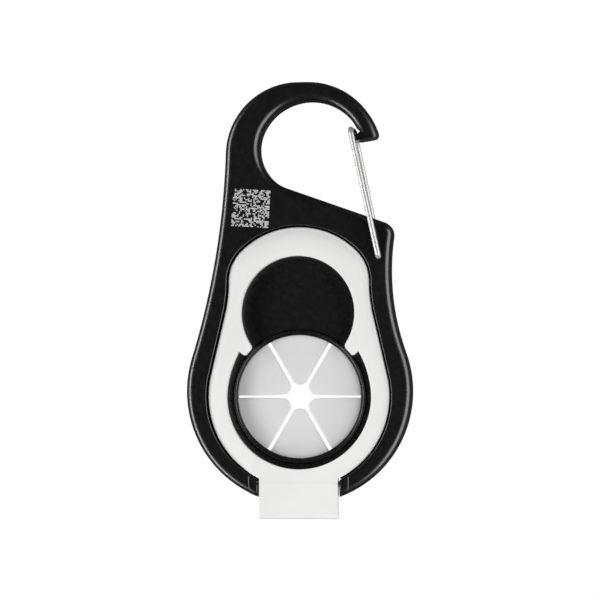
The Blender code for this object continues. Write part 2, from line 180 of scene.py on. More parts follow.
TAB_HALF = 10.8
TAB_END_Y = cad_low.y / MM
TAB_ROOT_Y = -44.5
TAB_TOP_Z = 8.9
TAB_ROUND = 1.1
TAB_LOW_ROUND = 0.2
TAB_SHELF = 0.6                      # beside the tab, the rim stays at its height this far
TAB_FADE = 5.0                       # and is back at its own height here
POCKET_GAP = 0.5
POCKET_FLOOR_Z = 5.8
POCKET_ROUND = 0.3
CORNER_ARM = 3.0                     # length of each side of a slot corner that its rounding may use
CORNER_OVER = 0.5

# Hinge
HINGE_Y = joints["frame_fold"]["pos_m"][1] / MM
HINGE_Z = joints["frame_fold"]["pos_m"][2] / MM
PIN_R = 0.75
PIN_HALF = 12.9
PIN_ROUND = 0.2
PIN_BORE_R = 0.85
PIN_BORE_HALF = 13.1
BARREL_R = 1.36
BARREL_HALF = 10.75
LUG_R = 1.5
LUG_HALF = 13.7
LUG_ROUND = 0.25
SNAP_SLOT = 1.2
SLOT_HALF = 11.2
SLOT_TOP_Y = -48.3
SLOT_ROUND = 0.7
RIB_INNER_X = 11.6                   # the flat of each lug's rib, from the middle outwards
RIB_OUTER_X = 13.45
RIB_LIFT = 0.13
RIB_ROUND = 0.4
RIB_ROOT = 0.7                       # how deep a rib's foot stands in the body
RIB_SETBACK = 0.1                    # from the pocket's rounded edge

# Grip disc and clamp ring
DISC_CENTRE = middle_of("clamp_ring")
SEAT_R = 18.45
SEAT_Z = 4.0
HOLE_R = 17.4
HOLE_MOUTH_R = 18.2
HOLE_MOUTH_DEPTH = 1.0
DISC_LOW_Z = 4.3
DISC_TOP_Z = 5.4
DISC_ROUND = 0.16
RIM_OUTER_R = 18.1
PETAL_COUNT = 6
RIM_GAP = 0.02                       # between the rim and the petals' roots
PETAL_ROOT_R = 16.95
PETAL_NECK_R = 6.0                   # the petal's loops draw closer from here to the tip
PETAL_TIP_R = 3.27
PETAL_LONG_LOOPS = 16
PETAL_TIP_RADII = (5.5, 5.0, 4.6, 4.3, 4.05, 3.85, 3.7, 3.57, 3.46, 3.38, 3.32, 3.285, 3.272)
PETAL_HALF_QUADS = 6                 # across half of the petal's flat
PETAL_EDGE_SHARE = 0.9               # most of a petal's half width that its rounded edge may take
SLIT_WIDTH = 1.0
LEVEL_SLIT_SHIFT = 0.19              # how far each side of a level slit moves in
LEVEL_SLIT_FROM = 4.5
LEVEL_SLIT_TO = 12.0
LEVEL_SLIT_REACH = 3.5
RING_LOW_Z = 5.7
RING_TOP_Z = 6.25
RING_INNER_R = 16.85
RING_OUTER_R = 18.15
RING_BEADS = ((17.78, 0.37), (17.16, 0.31))    # each bead's middle and half width
BEAD_RISE = 0.8                      # height of a bead, as a share of its half width

# Printed patch
PATCH_CENTRE = Vector((-13.1, 25.1))
PATCH_SIDE = 10.3
PATCH_TURN = -3.75
PATCH_CELLS = 27
PATCH_GAP = 0.04                     # bare strip between neighbouring cells
PATCH_LIFT = 0.02
PATCH_SEED = 7
PATCH_FILL = 0.5

# Meshes
CUT_OVER = 1.0                       # how far a cutter runs past the face it cuts
MERGE = 0.02                         # points of an outline closer than this become one
BAR_SIDES = 48
RING_SIDES = 144
EDGE_SOFT = 0.22                     # bevel along the body's sharp edges
SOFT_ANGLE = 40.0                    # least angle between the faces of a softened edge
SOFT_NEAR = 0.3                      # how near to a side's line an edge has to lie to be softened
SLOT_SOFT_Y = -48.0

# Noise: the part of its range that shows
NOISE_LOW = 0.3
NOISE_HIGH = 0.7

# Camera, lights and floor
CAMERA_X = 77.2
CAMERA_Y = -27.0
CAMERA_RISE = 738.5
AIM_X = -0.01
AIM_Y = 0.05
VIEW_WIDTH = 165.0
# Each panel: name, heading, lift, width, height in metres and power in watts
PANELS = (
    ("left_box", 191.0, 27.0, 1.9, 0.34, 21.0),
    ("right_box", -11.0, 31.0, 1.9, 0.9, 21.5),
)
PANEL_DISTANCE = 1.2
FLOOR_TONE = 0.10
FLOOR_HALF = 6.0
FLOOR_GAP = 0.0002
SKY_LOW = 0.10
SKY_HIGH = 0.015
SKY_TOP = 0.75


# Plane geometry

def arc(centre, radius, start, end, step=3.0):
    """Points along an arc, both ends included; angles in degrees."""
    count = max(2, math.ceil(abs(end - start) / step) + 1)
    points = []
    for index in range(count):
        angle = math.radians(start + (end - start) * index / (count - 1))
        points.append(Vector((centre.x + radius * math.cos(angle), centre.y + radius * math.sin(angle))))
    return points


def circle(centre, radius, sides):
    return arc(centre, radius, 0.0, 360.0 - 360.0 / sides, 360.0 / sides)


def bearing(origin, target):
    """Direction from origin to target, in degrees."""
    offset = target - origin
    return math.degrees(math.atan2(offset.y, offset.x))


def unit(angle):
    return Vector((math.cos(math.radians(angle)), math.sin(math.radians(angle))))


def meet_circles(first, first_r, second, second_r, side):
    """Where two circles cross; side +1 takes the point left of the line from first to second."""
    span = second - first
    distance = span.length
    along = (distance ** 2 + first_r ** 2 - second_r ** 2) / (2 * distance)
    across = math.sqrt(first_r ** 2 - along ** 2)
    ahead = span / distance
    return first + ahead * along + Vector((-ahead.y, ahead.x)) * across * side


def smooth_step(value, low, high):
    """Rise from 0 at low to 1 at high, with level ends."""
    share = min(1.0, max(0.0, (value - low) / (high - low)))
    return share * share * (3.0 - 2.0 * share)


def join_points(*runs):
    """Join runs of points, leaving out a point that repeats the one before it."""
    joined = []
    for run in runs:
        for point in run:
            if not joined or (point - joined[-1]).length > MERGE:
                joined.append(point)
    if (joined[0] - joined[-1]).length <= MERGE:
        joined.pop()
    return joined


def rounded_corner(before, corner, after, radius, count=7):
    """Arc that rounds the corner between two straight runs."""
    toward = (before - corner).normalized()
    away = (after - corner).normalized()
    half = toward.angle(away) / 2
    middle = corner + (toward + away).normalized() * radius / math.sin(half)
    first = corner + toward * radius / math.tan(half) - middle
    last = corner + away * radius / math.tan(half) - middle
    points = []
    for index in range(count):
        turned = first.slerp(last, index / (count - 1))
        points.append(middle + turned.normalized() * radius)
    return points


def strip_outline(start, end, half, before, after):
    """Rectangle along the line from start to end, run on past each end."""
    ahead = (end - start).normalized()
    side = Vector((-ahead.y, ahead.x)) * half
    first = start - ahead * before
    last = end + ahead * after
    return [first + side, first - side, last - side, last + side]


# Outlines

def body_outline(inset):
    """Counter-clockwise outline of the body, with the hook running past its nose."""
    hook_left = Vector((HOOK_LEFT_X, HOOK_TOP - HOOK_LEFT_R))
    hook_right = Vector((HOOK_RIGHT_X, HOOK_TOP - HOOK_RIGHT_R))
    left_waist = meet_circles(LOBE_CENTRE, LOBE_R + LEFT_WAIST_R, hook_left, HOOK_LEFT_R + LEFT_WAIST_R, 1)
    waist_rise = math.sqrt((RIGHT_WAIST_R + LOBE_R) ** 2 - (RIGHT_WAIST_X + RIGHT_WAIST_R) ** 2)
    right_waist = Vector((RIGHT_WAIST_X + RIGHT_WAIST_R, LOBE_CENTRE.y + waist_rise))

    edge_start = SHOULDER_ANGLE - 90.0
    slope = unit(SHOULDER_ANGLE)
    edge_point = BAY_LOW_CENTRE + unit(edge_start) * BAY_LOW_R
    track = edge_point + unit(edge_start) * SHOULDER_R
    reach = RIGHT_WAIST_R + SHOULDER_R
    offset = track - right_waist
    along = -offset.dot(slope) - math.sqrt(offset.dot(slope) ** 2 - offset.length_squared + reach ** 2)
    shoulder = track + slope * along

    lobe_right = bearing(LOBE_CENTRE, right_waist)
    lobe_left = bearing(LOBE_CENTRE, left_waist)
    to_shoulder = bearing(right_waist, shoulder) % 360.0
    to_lobe = bearing(right_waist, LOBE_CENTRE) % 360.0
    bay_turn = bearing(BAY_TOP_CENTRE, BAY_LOW_CENTRE)
    to_left_lobe = bearing(left_waist, LOBE_CENTRE)
    return join_points(
        arc(LOBE_CENTRE, LOBE_R - inset, lobe_left, lobe_right + 360.0, 2.0),
        arc(right_waist, RIGHT_WAIST_R + inset, to_lobe, to_shoulder, 1.5),
        arc(shoulder, SHOULDER_R - inset, to_shoulder - 180.0, SHOULDER_ANGLE + 90.0, 7.0),
        arc(BAY_LOW_CENTRE, BAY_LOW_R + inset, edge_start + 360.0, bay_turn),
        arc(BAY_TOP_CENTRE, BAY_TOP_R + inset, bay_turn, NOSE_BLANK_ANGLE),
        arc(hook_right, HOOK_RIGHT_R - inset, NOSE_BLANK_ANGLE, 90.0, 2.5),
        arc(hook_left, HOOK_LEFT_R - inset, 90.0, bearing(hook_left, left_waist) % 360.0, 2.5),
        arc(left_waist, LEFT_WAIST_R + inset, bearing(left_waist, hook_left), to_left_lobe, 0.7),
    )


def frame_outline(inset):
    """Counter-clockwise outline of the frame's plate, moved inwards by inset."""
    lean = math.sqrt((FRAME_TOP_R - FRAME_CORNER_R) ** 2 - FRAME_CORNER_X ** 2)
    corner = Vector((FRAME_CORNER_X, FRAME_TOP_CENTRE.y + lean))
    waist = Vector((FRAME_CORNER_X + FRAME_CORNER_R + FRAME_WAIST_R, corner.y))
    span = (waist - FRAME_LOBE_CENTRE).length
    side = bearing(FRAME_LOBE_CENTRE, waist) - math.degrees(math.acos((FRAME_LOBE_R + FRAME_WAIST_R) / span))
    corner_end = bearing(FRAME_TOP_CENTRE, corner)
    right = join_points(
        arc(FRAME_LOBE_CENTRE, FRAME_LOBE_R - inset, -90.0, side, 2.0),
        arc(waist, FRAME_WAIST_R + inset, side + 180.0, 180.0, 1.5),
        arc(corner, FRAME_CORNER_R - inset, 0.0, corner_end, 3.0),
        arc(FRAME_TOP_CENTRE, FRAME_TOP_R - inset, corner_end, 90.0, 2.5),
    )
    left = [Vector((-point.x, point.y)) for point in reversed(right[1:-1])]
    return right + left


def ear_tip(side):
    """Centre and points of the arc at an ear's tip, which touches the ear and window circles."""
    tip = meet_circles(DISC_CENTRE, EAR_R + EAR_TIP_R, WINDOW_CENTRE, WINDOW_R + EAR_TIP_R, side)
    start = bearing(tip, DISC_CENTRE) % 360.0
    end = bearing(tip, WINDOW_CENTRE) % 360.0
    if side < 0:
        return tip, arc(tip, EAR_TIP_R, start, end - 360.0 if end > start else end, 8.0)
    return tip, arc(tip, EAR_TIP_R, end, start - 360.0 if start > end else start, 8.0)


def collar_arc(start, end):
    """Part of the collar's edge, which widens a little towards each ear."""
    points = []
    for plain in arc(DISC_CENTRE, 1.0, start, end, 2.0):
        ahead = plain - DISC_CENTRE
        climb = math.degrees(math.asin(ahead.y))
        share = min(1.0, max(0.0, (climb - COLLAR_FLARE_FROM) / (EAR_ANGLE - COLLAR_FLARE_FROM)))
        points.append(DISC_CENTRE + ahead * (COLLAR_R + COLLAR_FLARE * share * share))
    return points


def ear_heel(side):
    """Rounded corner at an ear's lower end; side +1 is to the right."""
    turn = math.degrees(math.asin(EAR_HEEL_R / (EAR_R + EAR_HEEL_R)))
    middle = DISC_CENTRE + unit(EAR_ANGLE + turn) * (EAR_R + EAR_HEEL_R)
    heel = arc(middle, EAR_HEEL_R, EAR_ANGLE - 90.0, EAR_ANGLE + turn - 180.0, 12.0)
    if side > 0:
        return heel
    return [Vector((-point.x, point.y)) for point in reversed(heel)]


def window_outline():
    """Opening through the frame: a round window, a wider collar below it and a rounded ear each side."""
    right_tip, right_round = ear_tip(-1)
    left_tip, left_round = ear_tip(1)
    window_end = bearing(WINDOW_CENTRE, left_tip) % 360.0
    heel_end = bearing(DISC_CENTRE, ear_heel(1)[-1])
    return join_points(
        collar_arc(180.0 - EAR_ANGLE, 360.0 + EAR_ANGLE),
        ear_heel(1),
        arc(DISC_CENTRE, EAR_R, heel_end, bearing(DISC_CENTRE, right_tip), 2.0),
        right_round,
        arc(WINDOW_CENTRE, WINDOW_R, bearing(WINDOW_CENTRE, right_tip), window_end, 2.5),
        left_round,
        arc(DISC_CENTRE, EAR_R, bearing(DISC_CENTRE, left_tip), 180.0 - heel_end, 2.0),
        ear_heel(-1),
    )


# Meshes

def bridge_loops(mesh, loops):
    """Quads between each loop of vertices and the next."""
    count = len(loops[0])
    for near, far in zip(loops, loops[1:]):
        for index in range(count):
            after = (index + 1) % count
            mesh.faces.new((near[index], near[after], far[after], far[index]))


def cap_ends(mesh, loops):
    """One flat face on the first loop and one on the last."""
    mesh.faces.new(loops[0][::-1])
    mesh.faces.new(loops[-1])


def cap_curved_end(mesh, loop):
    """Row of quads across a loop whose second half runs back beside its first."""
    last = len(loop) - 1
    for index in range(len(loop) // 2 - 1):
        mesh.faces.new((loop[index], loop[index + 1], loop[last - index - 1], loop[last - index]))


def loft(levels):
    """Closed mesh through loops of equal length, given as (points, z) from the lowest up."""
    mesh = bmesh.new()
    loops = []
    for points, height in levels:
        loops.append([mesh.verts.new((point.x * MM, point.y * MM, height * MM)) for point in points])
    cap_ends(mesh, loops)
    bridge_loops(mesh, loops)
    return mesh


def body_levels():
    """Loops of the body's blank, rounded over along its lower and upper edges."""
    lower = []
    upper = []
    for step in range(EDGE_SEGMENTS + 1):
        turn = math.radians(90.0 * step / EDGE_SEGMENTS)
        outline = body_outline(EDGE_ROUND * (1.0 - math.sin(turn)))
        rise = EDGE_ROUND * (1.0 - math.cos(turn))
        lower.append((outline, rise))
        upper.append((outline, BODY_THICK - rise))
    return lower + upper[::-1]


def rim_edges(mesh):
    """Edges that lie level, round the top and bottom outlines of a plate."""
    found = []
    for edge in mesh.edges:
        if abs(edge.verts[0].co.z - edge.verts[1].co.z) < 1e-7:
            found.append(edge)
    return found


def rounded_plate(points, low, high, radius, segments):
    """Plate whose top and bottom outlines are rounded over."""
    mesh = loft([(points, low), (points, high)])
    mesh.normal_update()
    bmesh.ops.bevel(
        mesh, geom=rim_edges(mesh), offset=radius * MM, segments=segments, profile=0.5,
        affect="EDGES", clamp_overlap=False,
    )
    return mesh


def turned_ring(profile, centre, sides):
    """Ring made by turning a closed (radius, z) profile about a vertical line through centre."""
    mesh = bmesh.new()
    rings = []
    for radius, height in profile:
        points = circle(centre, radius, sides)
        rings.append([mesh.verts.new(Vector((point.x, point.y, height)) * MM) for point in points])
    bridge_loops(mesh, rings + rings[:1])
    return mesh


def bar(radius, half_length, round_end=0.0):
    """Bar along X through the hinge line, with its ends rounded over if round_end isn't 0."""
    points = circle(Vector((0.0, 0.0)), radius, BAR_SIDES)
    if round_end:
        mesh = rounded_plate(points, -half_length, half_length, round_end, 4)
    else:
        mesh = loft([(points, -half_length), (points, half_length)])
    mesh.transform(Matrix.Rotation(math.radians(90.0), 4, "Y"))
    mesh.transform(Matrix.Translation(Vector((0.0, HINGE_Y, HINGE_Z)) * MM))
    return mesh


# Objects

def add_object(name, mesh, material=None):
    """Turn a bmesh into a scene object whose place is in its mesh."""
    bmesh.ops.recalc_face_normals(mesh, faces=mesh.faces)
    data = bpy.data.meshes.new(name)
    mesh.to_mesh(data)
    mesh.free()
    item = bpy.data.objects.new(name, data)
    bpy.context.scene.collection.objects.link(item)
    if material:
        data.materials.append(material)
    return item


def combine(target, operation, mesh):
    """Cut target with a mesh, or add the mesh to it. The tool is removed when target is baked."""
    tool = add_object("tool", mesh)
    modifier = target.modifiers.new("combine", "BOOLEAN")
    modifier.operation = operation
    modifier.object = tool
    return tool


def bake_modifiers(item, tools):
    """Apply the object's modifiers and remove the tools that they used."""
    bpy.context.view_layer.update()
    depsgraph = bpy.context.evaluated_depsgraph_get()
    baked = bpy.data.meshes.new_from_object(item.evaluated_get(depsgraph))
    item.modifiers.clear()
    item.data = baked
    for tool in tools:
        bpy.data.objects.remove(tool, do_unlink=True)


def soften(item, width, chosen):
    """Bevel the sharp edges that chosen(middle of the edge, in millimetres) picks."""
    mesh = bmesh.new()
    mesh.from_mesh(item.data)
    bmesh.ops.remove_doubles(mesh, verts=mesh.verts, dist=1e-6)
    picked = []
    for edge in mesh.edges:
        if len(edge.link_faces) != 2 or edge.calc_face_angle() < math.radians(SOFT_ANGLE):
            continue
        if chosen((edge.verts[0].co + edge.verts[1].co) / 2 / MM):
            picked.append(edge)
    bmesh.ops.bevel(
        mesh, geom=picked, offset=width * MM, segments=3, profile=0.5, affect="EDGES", clamp_overlap=True
    )
    mesh.to_mesh(item.data)
    mesh.free()


def shade(item, angle=50.0):
    """Smooth shading, apart from edges sharper than the angle."""
    item.data.shade_smooth()
    item.data.set_sharp_from_angle(angle=math.radians(angle))


def finish_shading(item):
    """Smooth shading that keeps sharp edges and flat faces."""
    shade(item, 32.0)
    weighted = item.modifiers.new("weighted", "WEIGHTED_NORMAL")
    weighted.keep_sharp = True
    weighted.weight = 80


def stand_for(item, body, slot, *nodes):
    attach(item, body)
    if nodes:
        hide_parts(*nodes)


# Materials

def node_material(name, colour, roughness, metallic=0.0):
    material = bpy.data.materials.new(name)
    material.use_nodes = True
    shader = material.node_tree.nodes["Principled BSDF"]
    shader.inputs["Base Color"].default_value = (*colour, 1.0)
    shader.inputs["Roughness"].default_value = roughness
    shader.inputs["Metallic"].default_value = metallic
    material.diffuse_color = (*colour, 1.0)
    return material, shader


def add_noise(material, scale, detail=3.0, stretch=(1.0, 1.0, 1.0)):
    """Noise in the piece's own coordinates; scale is in cells per metre."""
    nodes, links = material.node_tree.nodes, material.node_tree.links
    place = nodes.new("ShaderNodeTexCoord")
    mapping = nodes.new("ShaderNodeMapping")
    mapping.inputs["Scale"].default_value = stretch
    texture = nodes.new("ShaderNodeTexNoise")
    texture.inputs["Scale"].default_value = scale
    texture.inputs["Detail"].default_value = detail
    links.new(place.outputs["Object"], mapping.inputs["Vector"])
    links.new(mapping.outputs["Vector"], texture.inputs["Vector"])
    return texture.outputs["Fac"]


def vary_colour(material, shader, factor, low, high):
    """Base colour between two tones, by a noise."""
    nodes, links = material.node_tree.nodes, material.node_tree.links
    ramp = nodes.new("ShaderNodeValToRGB")
    ramp.color_ramp.elements[0].position = NOISE_LOW
    ramp.color_ramp.elements[0].color = (*low, 1.0)
    ramp.color_ramp.elements[1].position = NOISE_HIGH
    ramp.color_ramp.elements[1].color = (*high, 1.0)
    links.new(factor, ramp.inputs["Fac"])
    links.new(ramp.outputs["Color"], shader.inputs["Base Color"])


def vary_roughness(material, shader, factor, low, high):
    nodes, links = material.node_tree.nodes, material.node_tree.links
    spread = nodes.new("ShaderNodeMapRange")
    spread.inputs["From Min"].default_value = NOISE_LOW
    spread.inputs["From Max"].default_value = NOISE_HIGH
    spread.inputs["To Min"].default_value = low
    spread.inputs["To Max"].default_value = high
    links.new(factor, spread.inputs["Value"])
    links.new(spread.outputs["Result"], shader.inputs["Roughness"])


def add_bump(material, shader, factor, height):
    """Bump from a noise; height in millimetres."""
    nodes, links = material.node_tree.nodes, material.node_tree.links
    bump = nodes.new("ShaderNodeBump")
    bump.inputs["Strength"].default_value = 1.0
    bump.inputs["Distance"].default_value = height * MM
    links.new(factor, bump.inputs["Height"])
    links.new(bump.outputs["Normal"], shader.inputs["Normal"])


def black_plastic():
    """Moulded black plastic with a fine spark texture."""
    material, shader = node_material("black_moulding", (0.0085, 0.0085, 0.009), 0.36)
    broad = add_noise(material, 90.0, 4.0)
    fine = add_noise(material, 4200.0, 2.0)
    vary_colour(material, shader, broad, (0.0040, 0.0040, 0.0042), (0.0056, 0.0056, 0.0058))
    vary_roughness(material, shader, add_noise(material, 700.0, 4.0), 0.25, 0.33)
    add_bump(material, shader, fine, 0.0015)
    shader.inputs["Specular IOR Level"].default_value = 0.8
    return material


def white_plastic():
    material, shader = node_material("white_moulding", (0.80, 0.80, 0.79), 0.42)
    vary_colour(material, shader, add_noise(material, 60.0, 4.0), (0.785, 0.785, 0.773), (0.82, 0.82, 0.81))
    vary_roughness(material, shader, add_noise(material, 900.0, 3.0), 0.36, 0.46)
    add_bump(material, shader, add_noise(material, 3000.0, 2.0), 0.004)
    shader.inputs["Subsurface Weight"].default_value = 0.08
    shader.inputs["Subsurface Radius"].default_value = (1.0, 0.9, 0.8)
    shader.inputs["Subsurface Scale"].default_value = 1.5 * MM
    return material


def grey_rubber():
    """Frosted silicone of the disc."""
    material, shader = node_material("frosted_rubber", (0.60, 0.60, 0.60), 0.55)
    vary_colour(material, shader, add_noise(material, 110.0, 4.0), (0.645, 0.645, 0.645), (0.69, 0.69, 0.69))
    vary_roughness(material, shader, add_noise(material, 1200.0, 3.0), 0.48, 0.60)
    add_bump(material, shader, add_noise(material, 3800.0, 3.0), 0.006)
    return material


def steel():
    """Drawn wire, with faint lines along its length."""
    material, shader = node_material("drawn_steel", (0.60, 0.60, 0.59), 0.42, 0.55)
    streaks = add_noise(material, 2600.0, 3.0, (1.0, 0.02, 1.0))
    vary_colour(material, shader, add_noise(material, 300.0, 3.0), (0.57, 0.57, 0.56), (0.63, 0.63, 0.62))
    vary_roughness(material, shader, streaks, 0.38, 0.46)
    return material


def print_ink():
    material, shader = node_material("pad_print", (0.52, 0.52, 0.52), 0.55)
    vary_colour(material, shader, add_noise(material, 2500.0, 3.0), (0.36, 0.36, 0.36), (0.60, 0.60, 0.60))
    add_bump(material, shader, add_noise(material, 5000.0, 2.0), 0.003)
    return material


# Body

def gate_sweep():
    """Area behind the shoulder that the rear leg passes over as the gate opens."""
    clear = WIRE_R + WIRE_GAP
    closed = bearing(GATE_PIVOT, GATE_TOP_BACK)
    spread = math.degrees(math.asin(clear / SWEEP_R))
    corner = arc(GATE_PIVOT, clear, closed + GATE_TRAVEL + 90.0, closed + 270.0, 8.0)
    far = arc(GATE_PIVOT, SWEEP_R, closed - spread, closed + GATE_TRAVEL + spread, 4.0)
    return join_points(corner, far)


def nose_cut():
    """Cutter that leaves the nose's end face, with its outer corner rounded."""
    end_face = unit(NOSE_END_ANGLE)
    up = Vector((-end_face.y, end_face.x))
    hook_right = Vector((HOOK_RIGHT_X, HOOK_TOP - HOOK_RIGHT_R))
    # Centre of the corner's arc: its own radius above the end face and inside the outer arc.
    level = (NOSE_END_POINT - hook_right).dot(up) + NOSE_CORNER_R
    along = math.sqrt((HOOK_RIGHT_R - NOSE_CORNER_R) ** 2 - level ** 2)
    centre = hook_right + end_face * along + up * level
    outward = bearing(hook_right, centre)
    corner = arc(centre, NOSE_CORNER_R, NOSE_END_ANGLE - 90.0, outward, 9.0)
    beyond = corner[-1] + unit(outward) * NOSE_REACH
    inner = NOSE_END_POINT - end_face * NOSE_CUT_IN
    return [inner, *corner, beyond, beyond - up * NOSE_DROP, inner - up * NOSE_DROP]


def pocket_levels():
    """Loops of the pocket's cutter: straight walls that flare out over a rounded edge."""
    levels = [(frame_outline(-POCKET_GAP), POCKET_FLOOR_Z)]
    for turn in (0, 22.5, 45, 67.5, 90):
        flare = POCKET_ROUND * (1.0 - math.cos(math.radians(turn)))
        rise = POCKET_ROUND * math.sin(math.radians(turn))
        levels.append((frame_outline(-POCKET_GAP - flare), BODY_THICK - POCKET_ROUND + rise))
    levels.append((frame_outline(-POCKET_GAP - POCKET_ROUND), HINGE_Z + LUG_R + CUT_OVER))
    return levels


def rib_section():
    """Points over a rib from its inner to its outer side: distance from the middle, lift."""
    inner = []
    outer = []
    for turn in range(0, 61, 10):
        spread = RIB_ROUND * math.sin(math.radians(turn))
        lift = RIB_LIFT - RIB_ROUND * (1.0 - math.cos(math.radians(turn)))
        inner.append((RIB_INNER_X - spread, lift))
        outer.append((RIB_OUTER_X + spread, lift))
    return inner[::-1] + outer


def build_lug_ribs(material):
    """Low rib over each hinge lug, from the pocket's edge over the body's rounded edge."""
    pocket_r = FRAME_LOBE_R + POCKET_GAP + POCKET_ROUND + RIB_SETBACK
    for name, side in (("lug_rib_left", -1), ("lug_rib_right", 1)):
        mesh = bmesh.new()
        loops = []
        for across, lift in rib_section():
            start = FRAME_LOBE_CENTRE.y - math.sqrt(pocket_r ** 2 - across ** 2)
            upper = [(start, BODY_THICK + lift)]
            lower = [(start, BODY_THICK - RIB_ROOT)]
            for turn in range(0, 71, 5):
                lean = math.sin(math.radians(turn))
                rise = math.cos(math.radians(turn))
                for run, offset in ((upper, lift), (lower, -RIB_ROOT)):
                    radius = LOBE_R - EDGE_ROUND + (EDGE_ROUND + offset) * lean
                    y = LOBE_CENTRE.y - math.sqrt(radius ** 2 - across ** 2)
                    run.append((y, BODY_THICK - EDGE_ROUND + (EDGE_ROUND + offset) * rise))
            spots = upper + lower[::-1]
            loops.append([mesh.verts.new(Vector((side * across, y, z)) * MM) for y, z in spots])
        bridge_loops(mesh, loops)
        cap_curved_end(mesh, loops[0])
        cap_curved_end(mesh, loops[-1])
        rib = add_object(name, mesh, material)
        shade(rib)
        stand_for(rib, "root", "black_plastic")


def build_body(material):
    body = add_object("body_shell", loft(body_levels()), material)
    tools = []

    leg = (GATE_PIVOT - GATE_TOP_FRONT).normalized()
    lip_foot = NOSE_END_POINT - Vector((0.0, CUT_OVER))
    lip_left = Vector((LIP_X + (LIP_TOP_Y - lip_foot.y) * abs(leg.x / leg.y), lip_foot.y))
    lip_root = Vector((LIP_ROOT_X, lip_foot.y))
    lip = [Vector((LIP_X, LIP_TOP_Y)), lip_left, lip_root, Vector((LIP_ROOT_X, LIP_TOP_Y))]
    tools.append(combine(body, "UNION", loft([(lip, LIP_LOW_Z), (lip, LIP_TOP_Z)])))
    for side in (-1, 1):
        lug = bar(LUG_R, (LUG_HALF - SLOT_HALF + CUT_OVER) / 2, LUG_ROUND)
        lug_x = side * (LUG_HALF + SLOT_HALF - CUT_OVER) / 2
        lug.transform(Matrix.Translation(Vector((lug_x * MM, 0.0, 0.0))))
        tools.append(combine(body, "UNION", lug))

    def cut(points, low, high):
        tools.append(combine(body, "DIFFERENCE", loft([(points, low), (points, high)])))

    clear_z = HINGE_Z + LUG_R + CUT_OVER
    cut(nose_cut(), -CUT_OVER, BODY_THICK + CUT_OVER)
    notch_x = LIP_X - CUT_OVER
    notch_top, notch_floor, notch_low = NOTCH
    notch = [
        Vector((notch_x, notch_top.y + CUT_OVER)),
        Vector((notch_x, notch_low.y - LIP_SLOPE * (notch_low.x - notch_x))),
        notch_low,
        *rounded_corner(notch_low, notch_floor, notch_top, NOTCH_ROUND),
        notch_top,
    ]
    cut(notch, -CUT_OVER, BODY_THICK + CUT_OVER)
    relief = 2 * WIRE_GAP + 2 * WIRE_R
    relief_end = GATE_TOP_BACK.lerp(GATE_PIVOT, NOSE_RELIEF)
    cut(strip_outline(GATE_TOP_BACK, relief_end, WIRE_R + WIRE_GAP, CUT_OVER, 0.0), -CUT_OVER, relief)
    cut(gate_sweep(), -CUT_OVER, relief)
    hole = circle(GATE_PIVOT, WIRE_R + GATE_HOLE_GAP, BAR_SIDES)
    cut(hole, BODY_THICK - GATE_HOLE_DEPTH, BODY_THICK + CUT_OVER)
    cut(hole, relief - CUT_OVER, relief + GATE_HOLE_DEPTH)

    tools.append(combine(body, "DIFFERENCE", loft(pocket_levels())))
    slot = strip_outline(Vector((0.0, SLOT_TOP_Y)), Vector((0.0, TAB_END_Y)), SLOT_HALF, 0.0, 0.0)
    cut(slot, -CUT_OVER, clear_z)
    for side in (-1, 1):
        cut(corner_fill(side, SLOT_ROUND), -CUT_OVER, clear_z)
    steps = [
        (HOLE_MOUTH_R + CUT_OVER, -CUT_OVER),
        (HOLE_R, HOLE_MOUTH_DEPTH),
        (HOLE_R, SEAT_Z),
        (SEAT_R, SEAT_Z),
        (SEAT_R, POCKET_FLOOR_Z + CUT_OVER),
    ]
    seat = loft([(circle(DISC_CENTRE, radius, RING_SIDES), height) for radius, height in steps])
    tools.append(combine(body, "DIFFERENCE", seat))
    tools.append(combine(body, "DIFFERENCE", bar(PIN_BORE_R, PIN_BORE_HALF)))
    snap_start = Vector((-PIN_BORE_HALF, HINGE_Y))
    snap_end = Vector((PIN_BORE_HALF, HINGE_Y))
    cut(strip_outline(snap_start, snap_end, SNAP_SLOT / 2, 0.0, 0.0), -CUT_OVER, HINGE_Z)

    bake_modifiers(body, tools)

    def soft_edge(point):
        near_nose = point.y > NOSE_SOFT_Y and point.x > NOSE_SOFT_X
        near_slot = point.y < SLOT_SOFT_Y and abs(abs(point.x) - SLOT_HALF) < SOFT_NEAR
        return near_nose or near_slot

    soften(body, EDGE_SOFT, soft_edge)
    finish_shading(body)
    stand_for(body, "root", "black_plastic", "carabiner_body")


# Frame

def frame_levels():
    """Loops of the frame's plate: a low rim, then a soft rise to the flat top."""
    levels = [
        (frame_outline(FRAME_LOW_ROUND), FRAME_LOW_Z),
        (frame_outline(0.0), FRAME_LOW_Z + FRAME_LOW_ROUND),
        (frame_outline(0.0), FRAME_RIM_Z - FRAME_RIM_ROUND),
    ]
    for turn in (22.5, 45, 67.5, 90):
        inset = FRAME_RIM_ROUND * (1.0 - math.cos(math.radians(turn)))
        sink = FRAME_RIM_ROUND * (1.0 - math.sin(math.radians(turn)))
        levels.append((frame_outline(inset), FRAME_RIM_Z - sink))
    for step in range(FRAME_DOME_LOOPS + 1):
        inset = FRAME_RIM_WIDTH + (FRAME_DOME - FRAME_RIM_WIDTH) * (step / FRAME_DOME_LOOPS) ** 1.5
        drop = (1.0 - (inset - FRAME_RIM_WIDTH) / (FRAME_DOME - FRAME_RIM_WIDTH)) ** 2
        step_rise = FRAME_STEP * smooth_step(inset, FRAME_RIM_WIDTH, FRAME_RIM_WIDTH + FRAME_SLOPE)
        crown = (FRAME_TOP_Z - FRAME_RIM_Z - FRAME_STEP) * (1.0 - drop)
        levels.append((frame_outline(inset), FRAME_RIM_Z + step_rise + crown))
    return levels


